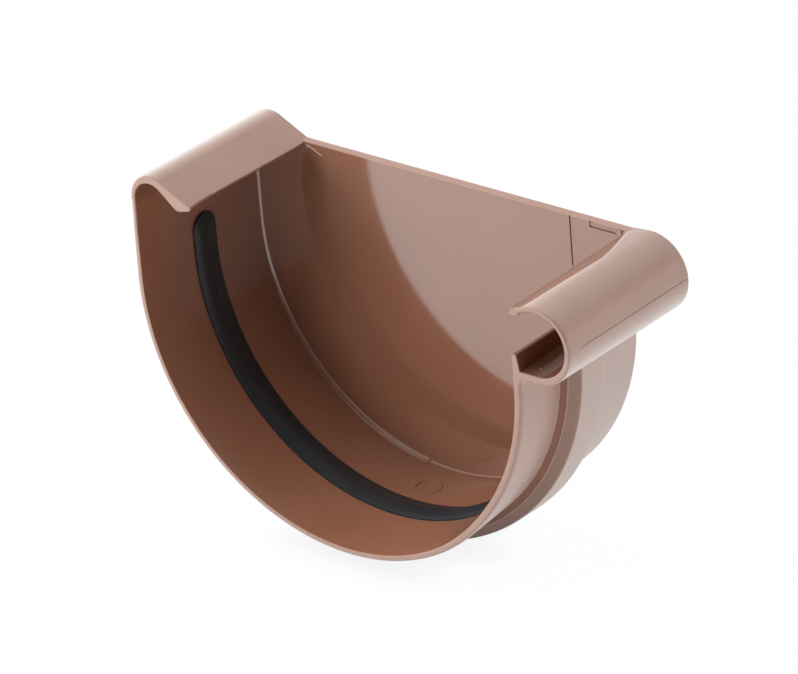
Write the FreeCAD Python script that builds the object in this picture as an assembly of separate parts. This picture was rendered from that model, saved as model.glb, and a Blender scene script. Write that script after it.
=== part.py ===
"""Half-round gutter end cap: a moulded socket with a hook, a round bead and a laid-in rubber seal.

Frame: the origin is the centre of the half-round at the open rim. X runs across the gutter, from the
back hook (-) to the front bead (+). Y runs along the gutter, from the open rim to the end plate. Z is up.
"""
import FreeCAD
import Part
import math
import os

V = FreeCAD.Vector
arc_sag = 1 - math.sqrt(0.5)

# Socket, along Y from the open rim
cap_depth = 50.2
plate_thickness = 2.4
mouth_radius = 64.0
wall_draft = 1.0
plate_radius = mouth_radius - wall_draft
rim_wall = 2.2
rear_wall = 2.5
corner_fillet = 1.0
rim_depth = 1.6
rim_round = 1.2
mouth_bevel = 0.35

# Bulge that houses the seal
bulge_start = 18.0
bulge_length = 12.9
bulge_height = 4.7
bulge_foot_wall = 1.4
bulge_crease_rise = 1.9
bulge_crease_run = 0.9
bulge_flank_run = 3.0
bulge_edge_bevel = 0.4

# Seal groove and rubber seal
groove_start = 20.3
groove_width = 9.2
groove_depth = 3.6
groove_corner = 1.2
seal_side_gap = 0.15
seal_rise = 2.1
seal_ridge_offset = 3.9
seal_ridge_flat = 0.8
seal_ridge_side = 0.5
seal_ridge_fall = 0.25
seal_shoulder = 0.3
seal_left_top = 10.8
seal_right_top = 2.6
bulge_left_top = 13.4

# End plate and its marks
plate_top = 26.5
slit_from_wall = 15.9
slit_width = 0.5
slit_depth = 0.5
slit_length = 22.0
slit_overrun = 1.0
pad_from_wall = 8.7
pad_height = 1.5
pad_thickness = 0.5

# Back hook, a section in the XZ plane
hook_base = 15.0
hook_centre_z = 24.0
hook_slot_radius = 5.7
hook_wall = 2.0
hook_outer_radius = hook_slot_radius + hook_wall
hook_centre_x = hook_slot_radius - mouth_radius
hook_slope = 26.0
hook_inner_slope = 49.0
hook_inner_drop = 5.5
hook_foot_radius = 1.8
hook_foot_reach = 8.7

# Front bead, a C-shaped tube in the XZ plane
bead_offset = 8.4
bead_centre_x = mouth_radius + bead_offset
bead_centre_z = 14.6
bead_outer_radius = 11.0
bead_wall = 1.7
bead_bore_lift = 0.4
bead_rear_rise = 0.9
bead_rear_spread = 0.4
bead_bore_draft = 0.4
bead_tip_height = 10.3
bead_tip_thickness = 1.4
bead_floor_corner = 2.4
bead_underside_round = 2.4
lip_start_angle = 125.0
lip_end_angle = 232.0
lip_bend_radius = 1.2
lip_thickness = 1.6
ramp_length = 17.0
ramp_inset = 5.8
ramp_foot_rise = 5.7
ramp_start_rise = 7.1
ramp_bend_share = 0.62
ramp_bend_rise = 9.1
ramp_edge_round = 1.2


def point(x, z, y=0.0):
    """A point of a section that stands in the XZ plane."""
    return V(x, y, z)


def around(centre, radius, degrees):
    """The point of a circle in the XZ plane, with the angle measured from +X towards +Z."""
    a = math.radians(degrees)
    return V(centre.x + radius * math.cos(a), centre.y, centre.z + radius * math.sin(a))


def line(a, b):
    return Part.LineSegment(a, b).toShape()


def arc(a, middle, b):
    return Part.Arc(a, middle, b).toShape()


def polygon(points):
    return Part.makePolygon(points + points[:1])


def inner_radius(y):
    """The socket's inside radius, which narrows evenly from the mouth to the end plate."""
    plate_face = cap_depth - plate_thickness
    share = max(y - rim_depth, 0.0) / (plate_face - rim_depth)
    return mouth_radius + (plate_radius - mouth_radius) * share


def swept_wall(section, left_top, right_top):
    """A half-plane section, swept round the lower half and straight up both sides."""
    axis = V(0, 1, 0)
    lower = section.revolve(V(0, 0, 0), axis, 180)
    right = section.extrude(V(0, 0, right_top))
    left_section = section.copy()
    left_section.rotate(V(0, 0, 0), axis, 180)
    left = left_section.extrude(V(0, 0, left_top))
    return lower.fuse([right, left]).removeSplitter()


def wall_section():
    """The socket wall: a rounded rim, a tapering skirt up to the bulge and a straight rear part."""
    rim = mouth_radius + rim_wall
    foot = inner_radius(bulge_start) + bulge_foot_wall
    rear = plate_radius + rear_wall
    nose = V(rim - rim_round, 0, 0)
    shoulder = V(rim, rim_round, 0)
    bend = V(rim, 0, 0) + V(-rim_round, rim_round, 0) * arc_sag
    lip = V(mouth_radius + mouth_bevel, 0, 0)
    inside = V(mouth_radius, mouth_bevel, 0)
    end = bulge_start + bulge_length
    edges = [
        line(inside, lip),
        line(lip, nose),
        arc(nose, bend, shoulder),
        line(shoulder, V(rim, rim_depth, 0)),
        line(V(rim, rim_depth, 0), V(foot, bulge_start, 0)),
        line(V(foot, bulge_start, 0), V(rear, end, 0)),
        line(V(rear, end, 0), V(rear, cap_depth, 0)),
        line(V(rear, cap_depth, 0), V(inner_radius(cap_depth), cap_depth, 0)),
        line(V(inner_radius(cap_depth), cap_depth, 0), V(mouth_radius, rim_depth, 0)),
        line(V(mouth_radius, rim_depth, 0), inside),
    ]
    return Part.Face(Part.Wire(edges))


def bulge_section():
    """The band outside the wall that makes room for the seal, with a creased front flank."""
    inside = inner_radius(bulge_start) + bulge_foot_wall / 2
    foot = inner_radius(bulge_start) + bulge_foot_wall
    crease = V(foot + bulge_crease_rise, bulge_start + bulge_crease_run, 0)
    crest = foot + bulge_height
    front = bulge_start + bulge_flank_run
    back = bulge_start + bulge_length
    bevel = bulge_edge_bevel
    edges = [
        line(V(inside, bulge_start, 0), V(foot, bulge_start, 0)),
        line(V(foot, bulge_start, 0), crease),
        line(crease, V(crest, front, 0)),
        line(V(crest, front, 0), V(crest, back - bevel, 0)),
        line(V(crest, back - bevel, 0), V(crest - bevel, back, 0)),
        line(V(crest - bevel, back, 0), V(inside, back, 0)),
        line(V(inside, back, 0), V(inside, bulge_start, 0)),
    ]
    return Part.Face(Part.Wire(edges))


def groove_floor():
    """The radius of the groove's floor, on which the seal lies."""
    return inner_radius(groove_start) + groove_depth


def groove_section():
    """The seal groove, whose front corner is cut back so that the bulge keeps its wall."""
    low = inner_radius(groove_start) - 2 * seal_rise
    top = groove_floor()
    back = groove_start + groove_width
    return Part.Face(polygon([
        V(low, groove_start, 0),
        V(top - groove_corner, groove_start, 0),
        V(top, groove_start + groove_corner, 0),
        V(top, back, 0),
        V(low, back, 0),
    ]))


def rounded_stop(top, side, gap):
    """A solid whose side view is a tall plate with a round head, which ends the groove and the seal."""
    half = groove_width / 2 - gap
    middle = groove_start + groove_width / 2
    level = top - groove_width / 2
    foot = -groove_width / 2
    reach = 2 * mouth_radius * side
    edges = [
        line(V(0, middle - half, foot), V(0, middle - half, level)),
        arc(V(0, middle - half, level), V(0, middle, level + half), V(0, middle + half, level)),
        line(V(0, middle + half, level), V(0, middle + half, foot)),
        line(V(0, middle + half, foot), V(0, middle - half, foot)),
    ]
    return Part.Face(Part.Wire(edges)).extrude(V(reach, 0, 0))


def with_round_ends(section, gap):
    """A section swept round the socket and stopped by a round head on each side."""
    axis = V(0, 1, 0)
    ring = section.revolve(V(0, 0, 0), axis, 180)
    right = section.extrude(V(0, 0, seal_right_top)).common(rounded_stop(seal_right_top, 1, gap))
    left_section = section.copy()
    left_section.rotate(V(0, 0, 0), axis, 180)
    left = left_section.extrude(V(0, 0, seal_left_top)).common(rounded_stop(seal_left_top, -1, gap))
    return ring.fuse([right, left]).removeSplitter()


def hook_section(y):
    """The back hook at depth y: a leg, a round top and a sloping tongue with a thick rounded foot."""
    centre = point(hook_centre_x, hook_centre_z, y)
    outer = hook_outer_radius
    inner = inner_radius(y) + hook_centre_x
    over = 90.0 - hook_slope
    under = 90.0 - hook_inner_slope
    leg_out = point(hook_centre_x - outer, hook_base, y)
    leg_in = point(hook_centre_x - inner, hook_base, y)
    top_end = around(centre, outer, over)
    tongue_end = top_end + around(V(0, 0, 0), hook_foot_reach, -hook_slope)
    r = hook_foot_radius
    foot = tongue_end - around(V(0, 0, 0), r, over)
    inner_end = around(centre, inner, under)
    knee = inner_end + around(V(0, 0, 0), hook_inner_drop, -hook_inner_slope)
    gap = knee - foot
    low = math.degrees(math.atan2(gap.z, gap.x) + math.acos(r / gap.Length)) % 360 - 360
    foot_side = around(foot, r, (low + over) / 2)
    foot_low = around(foot, r, low)
    edges = [
        line(leg_in, leg_out),
        line(leg_out, around(centre, outer, 180)),
        arc(around(centre, outer, 180), around(centre, outer, (180 + over) / 2), top_end),
        line(top_end, tongue_end),
        arc(tongue_end, foot_side, foot_low),
        line(foot_low, knee),
        line(knee, inner_end),
        arc(inner_end, around(centre, inner, (180 + under) / 2), around(centre, inner, 180)),
        line(around(centre, inner, 180), leg_in),
    ]
    return Part.Wire(edges)


def rear_share(y):
    """How far the depth y is from the rim's straight part to the back of the cap, from 0 to 1."""
    return max(y - rim_depth, 0.0) / (cap_depth - rim_depth)


def bead_circle(y):
    """Centre and outer radius of the bead at depth y: it rises and widens a little to the rear."""
    share = rear_share(y)
    centre = point(bead_centre_x, bead_centre_z + bead_rear_rise * share, y)
    return centre, bead_outer_radius + bead_rear_spread * share


def bore_circle(y):
    """Centre and radius of the bead's inside at depth y, with the draft that lets the core out."""
    centre, outer = bead_circle(y)
    radius = bead_outer_radius - bead_wall - bead_bore_draft * rear_share(y)
    return centre + V(0, 0, bead_bore_lift), radius


def bead_section(y):
    """The bead at depth y: the socket wall's tip, a flat floor, a round tube and a lip flicked up."""
    centre, outer = bead_circle(y)
    middle, bore = bore_circle(y)
    wall = inner_radius(y)
    floor = middle.z - bore
    under = centre.z - outer
    tip_z = bead_tip_height
    bore_end = around(middle, bore, lip_start_angle)
    tube_end = around(centre, outer, lip_start_angle)
    side_angle = (lip_start_angle - 90) / 2
    bend = around(centre, outer + lip_bend_radius, lip_start_angle)
    back = lip_bend_radius + lip_thickness
    lip_top = around(bend, lip_bend_radius, lip_end_angle)
    lip_low = around(bend, back, lip_end_angle)
    lip_root = around(bend, back, 270)
    r = bead_underside_round
    base = under - r
    outside = wall + rim_wall + (bulge_foot_wall - rim_wall) * rear_share(y)
    fold = point(outside + r * arc_sag, under - r * arc_sag, y)
    edges = [
        line(point(outside, base, y), point(wall, base, y)),
        line(point(wall, base, y), point(wall, tip_z, y)),
        line(point(wall, tip_z, y), point(wall + bead_tip_thickness, tip_z, y)),
        line(point(wall + bead_tip_thickness, tip_z, y), point(wall + bead_floor_corner, floor, y)),
        line(point(wall + bead_floor_corner, floor, y), around(middle, bore, 270)),
        arc(around(middle, bore, 270), around(middle, bore, side_angle), bore_end),
        line(bore_end, lip_root),
        arc(lip_root, around(bend, back, (lip_end_angle + 270) / 2), lip_low),
        line(lip_low, lip_top),
        arc(lip_top, around(bend, lip_bend_radius, 270), tube_end),
        arc(tube_end, around(centre, outer, side_angle), around(centre, outer, 270)),
        line(around(centre, outer, 270), point(outside + r, under, y)),
        arc(point(outside + r, under, y), fold, point(outside, base, y)),
    ]
    return Part.Wire(edges)


def front_edges(solid, keep):
    """The edges of a solid that lie in the open rim's plane and whose middle passes a test."""
    found = []
    for edge in solid.Edges:
        box = edge.BoundBox
        if box.YMax < 0.01 and keep(edge.valueAt((edge.FirstParameter + edge.LastParameter) / 2)):
            found.append(edge)
    return found


def long_moulding(section, keep):
    """A section run from the open rim to the back of the cap, with its outer front edge rounded."""
    nose = Part.Face(section(0)).extrude(V(0, rim_depth, 0))
    nose = nose.makeFillet(rim_round, front_edges(nose, keep))
    inner = front_edges(nose, lambda p: abs(abs(p.x) - mouth_radius) < 0.01)
    nose = nose.makeChamfer(mouth_bevel, inner)
    rest = Part.makeLoft([section(rim_depth), section(cap_depth)], True, True)
    return nose.fuse(rest)


def hook():
    """The back hook, full length."""
    leg_x = hook_centre_x - hook_outer_radius
    return long_moulding(hook_section, lambda p: abs(p.x - leg_x) < 0.01)


def bead():
    """The front bead, full length."""
    centre, outer = bead_circle(0)
    return long_moulding(bead_section, lambda p: abs((p - centre).Length - outer) < 0.01)


def end_plate():
    """The plate that closes the socket, the hook and the bead, with one straight top edge."""
    face_y = cap_depth - plate_thickness
    radius = plate_radius + rear_wall / 2
    disc = Part.makeCylinder(radius, plate_thickness, V(0, face_y, 0), V(0, 1, 0))
    below = Part.makeBox(4 * radius, plate_thickness, 2 * radius, V(-2 * radius, face_y, -2 * radius))
    web = Part.makeBox(2 * radius, plate_thickness, plate_top, V(-radius, face_y, 0))
    centre, outer = bead_circle(cap_depth)
    end_radius = outer - bead_wall / 2
    bead_end = Part.makeCylinder(end_radius, plate_thickness, V(centre.x, face_y, centre.z), V(0, 1, 0))
    bead_web = Part.makeBox(centre.x - radius, plate_thickness, plate_top - centre.z + end_radius,
                            V(radius, face_y, centre.z - end_radius))
    corner = swept_wall(corner_section(), hook_base, bead_centre_z - bead_outer_radius)
    return disc.common(below).fuse([web, bead_end, bead_web, hook_end(face_y), corner])


def corner_section():
    """The fillet in the corner between the socket wall and the end plate."""
    face_y = cap_depth - plate_thickness
    r = corner_fillet
    wall = inner_radius(face_y - r)
    bend = V(wall - r * arc_sag, face_y - r * arc_sag, 0)
    edges = [
        arc(V(wall, face_y - r, 0), bend, V(wall - r, face_y, 0)),
        line(V(wall - r, face_y, 0), V(wall - r, cap_depth, 0)),
        line(V(wall - r, cap_depth, 0), V(wall + r, cap_depth, 0)),
        line(V(wall + r, cap_depth, 0), V(wall + r, face_y - r, 0)),
        line(V(wall + r, face_y - r, 0), V(wall, face_y - r, 0)),
    ]
    return Part.Face(Part.Wire(edges))


def hook_end(face_y):
    """The part of the end plate that fills the hook's outline, out to the middle of the hook's wall."""
    centre = point(hook_centre_x, hook_centre_z, face_y)
    outer = (hook_outer_radius + inner_radius(face_y) + hook_centre_x) / 2
    over = 90.0 - hook_slope
    top_end = around(centre, outer, over)
    tongue_end = top_end + around(V(0, 0, 0), hook_foot_reach / 2, -hook_slope)
    base = point(hook_centre_x - outer, hook_base, face_y)
    edges = [
        line(base, around(centre, outer, 180)),
        arc(around(centre, outer, 180), around(centre, outer, (180 + over) / 2), top_end),
        line(top_end, tongue_end),
        line(tongue_end, point(tongue_end.x, hook_base, face_y)),
        line(point(tongue_end.x, hook_base, face_y), base),
    ]
    return Part.Face(Part.Wire(edges)).extrude(V(0, plate_thickness, 0))


def bead_ramp():
    """The fillet that lifts the top of the bead to the plate's straight edge, rooted in the bead's wall."""
    centre, outer = bead_circle(cap_depth)
    left = centre.x - ramp_inset
    end_y = cap_depth - plate_thickness
    start_y = end_y - ramp_length
    low = centre.z + ramp_foot_rise
    start = V(left, start_y, centre.z + ramp_start_rise)
    mid = V(left, start_y + ramp_length * ramp_bend_share, centre.z + ramp_bend_rise)
    top = V(left, end_y, plate_top)
    side = Part.Wire([
        arc(start, mid, top),
        line(top, V(left, end_y, low)),
        line(V(left, end_y, low), V(left, start_y, low)),
        line(V(left, start_y, low), start),
    ])
    ramp = Part.Face(side).extrude(V(ramp_inset, 0, 0))
    crest = [e for e in ramp.Edges if e.BoundBox.XMax < left + 0.01 and e.BoundBox.YLength > ramp_edge_round
             and e.BoundBox.ZMax > start.z]
    return ramp.makeFillet(ramp_edge_round, crest).cut(bead_core())


def bead_core():
    """The inside of the bead out to the middle of its wall, from the rim to the back of the cap."""
    sections = []
    for y in (rim_depth, cap_depth):
        centre, outer = bead_circle(y)
        sections.append(Part.Wire(Part.Circle(centre, V(0, 1, 0), outer - bead_wall / 2).toShape()))
    return Part.makeLoft(sections, True, True)


def slit():
    """A narrow groove down the inner face of the end plate."""
    face_y = cap_depth - plate_thickness
    left = plate_radius - slit_from_wall - slit_width / 2
    return Part.makeBox(slit_width, slit_depth, slit_length + slit_overrun,
                        V(left, face_y, plate_top - slit_length))


def rim_pad():
    """A thin raised step under the plate's top edge, next to the bead."""
    face_y = cap_depth - plate_thickness
    left = plate_radius - pad_from_wall
    return Part.makeBox(pad_from_wall + bead_tip_thickness, pad_thickness, pad_height,
                        V(left, face_y - pad_thickness, plate_top - pad_height))


def make_cap_body():
    """The whole moulding."""
    floor_middle = bead_centre_z - bead_outer_radius + bead_wall / 2
    wall = swept_wall(wall_section(), hook_base, floor_middle)
    bulge = swept_wall(bulge_section(), bulge_left_top, floor_middle)
    shell = wall.fuse([bulge, end_plate(), hook(), bead(), bead_ramp(), rim_pad()])
    shell = shell.cut(with_round_ends(groove_section(), 0.0))
    return shell.cut(slit()).removeSplitter()


def seal_section():
    """The rubber strip: it fills the groove and stands into the socket with an off-centre ridge."""
    front = groove_start + seal_side_gap
    back = groove_start + groove_width - seal_side_gap
    floor = groove_floor()
    brim = inner_radius(groove_start) - seal_shoulder
    peak = inner_radius(groove_start) - seal_rise
    ridge = groove_start + seal_ridge_offset
    half = seal_ridge_flat / 2
    shoulder = half + seal_ridge_side
    low = peak + seal_ridge_fall
    edges = [
        line(V(floor, back, 0), V(floor, front + groove_corner, 0)),
        line(V(floor, front + groove_corner, 0), V(floor - groove_corner, front, 0)),
        line(V(floor - groove_corner, front, 0), V(brim, front, 0)),
        line(V(brim, front, 0), V(low, ridge - shoulder, 0)),
        line(V(low, ridge - shoulder, 0), V(peak, ridge - half, 0)),
        line(V(peak, ridge - half, 0), V(peak, ridge + half, 0)),
        line(V(peak, ridge + half, 0), V(low, ridge + shoulder, 0)),
        line(V(low, ridge + shoulder, 0), V(brim, back, 0)),
        line(V(brim, back, 0), V(floor, back, 0)),
    ]
    return Part.Face(Part.Wire(edges))


def make_rubber_seal():
    """The seal, laid round the groove, with a round head at each end."""
    return with_round_ends(seal_section(), seal_side_gap)


def main():
    os.makedirs("parts", exist_ok=True)
    pieces = {"cap_body": make_cap_body(), "rubber_seal": make_rubber_seal()}
    for name, shape in pieces.items():
        box = shape.BoundBox
        print(name, "solids", len(shape.Solids), "valid", shape.isValid(), "volume", round(shape.Volume),
              "x %.1f %.1f y %.1f %.1f z %.1f %.1f" % (box.XMin, box.XMax, box.YMin, box.YMax, box.ZMin, box.ZMax))
        shape.exportStep("parts/" + name + ".step")


main()
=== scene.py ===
"""Looks of a half-round gutter end cap: glossy brown moulded PVC with a black rubber seal.

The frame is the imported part's own: the origin is the centre of the half-round at the open rim, X runs from
the back hook (-) to the front bead (+), Y runs from the open rim to the end plate, and Z is up. Metres.
"""

import logging
import math
from collections.abc import Callable
from dataclasses import dataclass, field
from enum import Enum

import bmesh
import bpy
from mathutils import Matrix, Vector

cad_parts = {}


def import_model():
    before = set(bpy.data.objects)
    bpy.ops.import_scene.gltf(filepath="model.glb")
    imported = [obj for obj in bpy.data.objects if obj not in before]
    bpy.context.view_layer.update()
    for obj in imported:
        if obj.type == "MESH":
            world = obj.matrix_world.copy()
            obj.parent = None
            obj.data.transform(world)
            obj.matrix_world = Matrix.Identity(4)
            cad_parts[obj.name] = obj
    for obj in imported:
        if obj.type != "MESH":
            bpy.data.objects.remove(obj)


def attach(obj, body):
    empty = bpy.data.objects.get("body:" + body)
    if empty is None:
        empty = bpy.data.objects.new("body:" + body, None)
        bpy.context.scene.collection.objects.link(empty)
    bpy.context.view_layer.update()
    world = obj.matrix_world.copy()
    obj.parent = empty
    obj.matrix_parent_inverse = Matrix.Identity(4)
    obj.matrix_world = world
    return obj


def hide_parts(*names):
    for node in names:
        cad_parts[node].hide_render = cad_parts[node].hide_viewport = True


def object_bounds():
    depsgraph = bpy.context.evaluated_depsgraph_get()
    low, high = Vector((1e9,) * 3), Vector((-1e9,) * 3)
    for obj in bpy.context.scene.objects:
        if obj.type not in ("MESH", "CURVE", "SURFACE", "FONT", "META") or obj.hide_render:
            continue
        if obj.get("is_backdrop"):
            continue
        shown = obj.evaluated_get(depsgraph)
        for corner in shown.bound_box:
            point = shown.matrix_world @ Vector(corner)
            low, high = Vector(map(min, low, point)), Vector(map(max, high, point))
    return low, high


log = logging.getLogger("gutter_end_cap")

MM = 0.001
Point = tuple[float, float]
Outline = list[Point]


class Side(Enum):
    """The two upright sides of the socket."""

    HOOK = -1
    BEAD = 1


class Solver(Enum):
    """How two closed meshes are joined."""

    UNION = "UNION"
    CUT = "DIFFERENCE"
    KEEP_COMMON = "INTERSECT"


def around(centre: Point, radius: float, degrees: float) -> Point:
    """Return the point of a circle in the XZ plane.

    Args:
        centre: The circle's centre.
        radius: The circle's radius.
        degrees: The angle, measured from +X towards +Z.

    Returns:
        The point as (x, z).
    """
    angle = math.radians(degrees)
    return centre[0] + radius * math.cos(angle), centre[1] + radius * math.sin(angle)


def arc(centre: Point, radius: float, start: float, end: float, steps: int) -> Outline:
    """Return points along an arc, with both of its ends.

    Args:
        centre: The arc's centre.
        radius: The arc's radius.
        start: The first angle in degrees.
        end: The last angle in degrees.
        steps: The number of straight steps.

    Returns:
        steps + 1 points.
    """
    return [around(centre, radius, start + (end - start) * i / steps) for i in range(steps + 1)]


def bend_through(start: Point, corner: Point, end: Point,
                 steps: int) -> Outline:
    """Return points along a smooth bend that leaves and arrives in the direction of a corner point.

    Args:
        start: Where the bend starts.
        corner: The corner that it rounds off.
        end: Where it ends.
        steps: The number of straight steps.

    Returns:
        steps + 1 points.
    """
    points = []
    for i in range(steps + 1):
        t = i / steps
        shares = ((1 - t) ** 2, 2 * t * (1 - t), t ** 2)
        points.append(tuple(sum(w * p[k] for w, p in zip(shares, (start, corner, end))) for k in range(2)))
    return points


def towards(start: Point, end: Point, length: float) -> Point:
    """Return the point that lies a length away from a start, in the direction of an end."""
    whole = math.dist(start, end)
    return tuple(start[k] + (end[k] - start[k]) * length / whole for k in range(2))


def mesh_object(name: str, vertices: list, faces: list) -> bpy.types.Object:
    """Return a new object with a mesh of its own, linked to the scene."""
    mesh = bpy.data.meshes.new(name)
    mesh.from_pydata(vertices, [], faces)
    obj = bpy.data.objects.new(name, mesh)
    bpy.context.scene.collection.objects.link(obj)
    return obj


def face_outwards(obj: bpy.types.Object) -> None:
    """Turn a closed mesh's faces so that they all point outwards."""
    work = bmesh.new()
    work.from_mesh(obj.data)
    bmesh.ops.remove_doubles(work, verts=work.verts, dist=1e-7)
    bmesh.ops.recalc_face_normals(work, faces=work.faces)
    if work.calc_volume(signed=True) < 0:
        bmesh.ops.reverse_faces(work, faces=work.faces)
    work.to_mesh(obj.data)
    work.free()


def loft(name: str, sections: list[list[tuple[float, float, float]]], is_ring: bool = False) -> bpy.types.Object:
    """Return a closed mesh through sections that all have the same number of points.

    Args:
        name: The new object's name.
        sections: Closed outlines, in order.
        is_ring: Whether the last section joins up with the first, so that there are no ends.

    Returns:
        The new object, with outward faces.
    """
    count = len(sections[0])
    vertices = [p for section in sections for p in section]
    last = len(sections) - 1
    faces = [] if is_ring else [tuple(range(count)), tuple(range(last * count, (last + 1) * count))]
    for k in range(last + 1 if is_ring else last):
        n = (k + 1) % len(sections)
        for i in range(count):
            j = (i + 1) % count
            faces.append((k * count + i, k * count + j, n * count + j, n * count + i))
    obj = mesh_object(name, vertices, faces)
    face_outwards(obj)
    return obj


def bake_modifiers(obj: bpy.types.Object) -> None:
    """Give an object the mesh that its modifiers make, and remove them."""
    view = bpy.context.evaluated_depsgraph_get()
    result = bpy.data.meshes.new_from_object(obj.evaluated_get(view), depsgraph=view)
    obj.modifiers.clear()
    old = obj.data
    obj.data = result
    bpy.data.meshes.remove(old)


def combine(base: bpy.types.Object, others: list[bpy.types.Object], how: Solver) -> bpy.types.Object:
    """Join closed meshes into a base mesh and delete the others.

    Args:
        base: The mesh that is kept and changed.
        others: The meshes that are added, cut away or intersected, one after another.
        how: Which of the three it is.

    Returns:
        The base object.
    """
    for other in others:
        step = base.modifiers.new(how.name, "BOOLEAN")
        step.operation = how.value
        step.solver = "MANIFOLD"
        step.object = other
        bake_modifiers(base)
        bpy.data.objects.remove(other)
    return base


def smooth_with_creases(obj: bpy.types.Object, crease_degrees: float) -> None:
    """Shade a mesh smooth, apart from the edges whose faces meet more sharply than an angle."""
    work = bmesh.new()
    work.from_mesh(obj.data)
    bmesh.ops.remove_doubles(work, verts=work.verts, dist=1e-6)
    bmesh.ops.dissolve_degenerate(work, dist=1e-6, edges=work.edges)
    limit = math.radians(crease_degrees)
    for face in work.faces:
        face.smooth = True
    for edge in work.edges:
        edge.smooth = len(edge.link_faces) == 2 and edge.calc_face_angle(0.0) < limit
    work.to_mesh(obj.data)
    work.free()
    level = obj.modifiers.new("level_faces", "WEIGHTED_NORMAL")
    level.keep_sharp = True
    level.weight = 100
    bake_modifiers(obj)


class NodeSheet:
    """A small helper that adds nodes to a tree and joins them up."""

    def __init__(self, tree: bpy.types.NodeTree) -> None:
        """Take the tree that the nodes go into."""
        self.tree = tree

    def add(self, kind: str, inputs: dict | None = None, **settings: object) -> bpy.types.Node:
        """Add a node.

        Args:
            kind: The node's type name.
            inputs: Input names or numbers, each with a value or with a socket to link from.
            **settings: Attributes that are set on the node first.

        Returns:
            The new node.
        """
        node = self.tree.nodes.new(kind)
        for name, value in settings.items():
            setattr(node, name, value)
        for name, value in (inputs or {}).items():
            if isinstance(value, bpy.types.NodeSocket):
                self.tree.links.new(value, node.inputs[name])
            else:
                node.inputs[name].default_value = value
        return node

    def math(self, operation: str, *values: object) -> bpy.types.NodeSocket:
        """Return the output of a Math node with these inputs."""
        return self.add("ShaderNodeMath", dict(enumerate(values)), operation=operation).outputs[0]

    def clamped(self, operation: str, *values: object) -> bpy.types.NodeSocket:
        """Return the output of a Math node with these inputs, held between 0 and 1."""
        return self.add("ShaderNodeMath", dict(enumerate(values)), operation=operation, use_clamp=True).outputs[0]


class PolishAndPaintedLight(Enum):
    """How smooth the mould was that shaped a face, from the palest to mirror bright; the palest level is a painted
    highlight, the next two hold painted light and a painted sheen, and the semi-gloss and dull levels hold painted
    shade.
    """

    PAINTED_HIGHLIGHT = 0.0
    MATT_PAINTED_LIGHT = 0.14
    SATIN_PAINTED_SHEEN = 0.3
    SEMI_GLOSS_PAINTED_SHADE = 0.5
    DULL_PAINTED_SHADE = 0.62
    CORE = 0.75
    MIRROR = 1.0


@dataclass(frozen=True)
class Look:
    """What a level of polish looks like: its colour, roughness, gloss and the weight of the shine on top. The paler
    colours hold painted highlights and a painted sheen, and the darker outside colours hold painted shade.
    """

    tint: tuple[float, float, float]
    roughness: float
    gloss: float = 0.5
    shine: float = 0.1


@dataclass(frozen=True)
class Spot:
    """A small fleck on the surface: where it sits in the part's frame, how wide it is and its colour."""

    place: tuple[float, float, float]
    radius: float
    colour: tuple[float, float, float]


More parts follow.
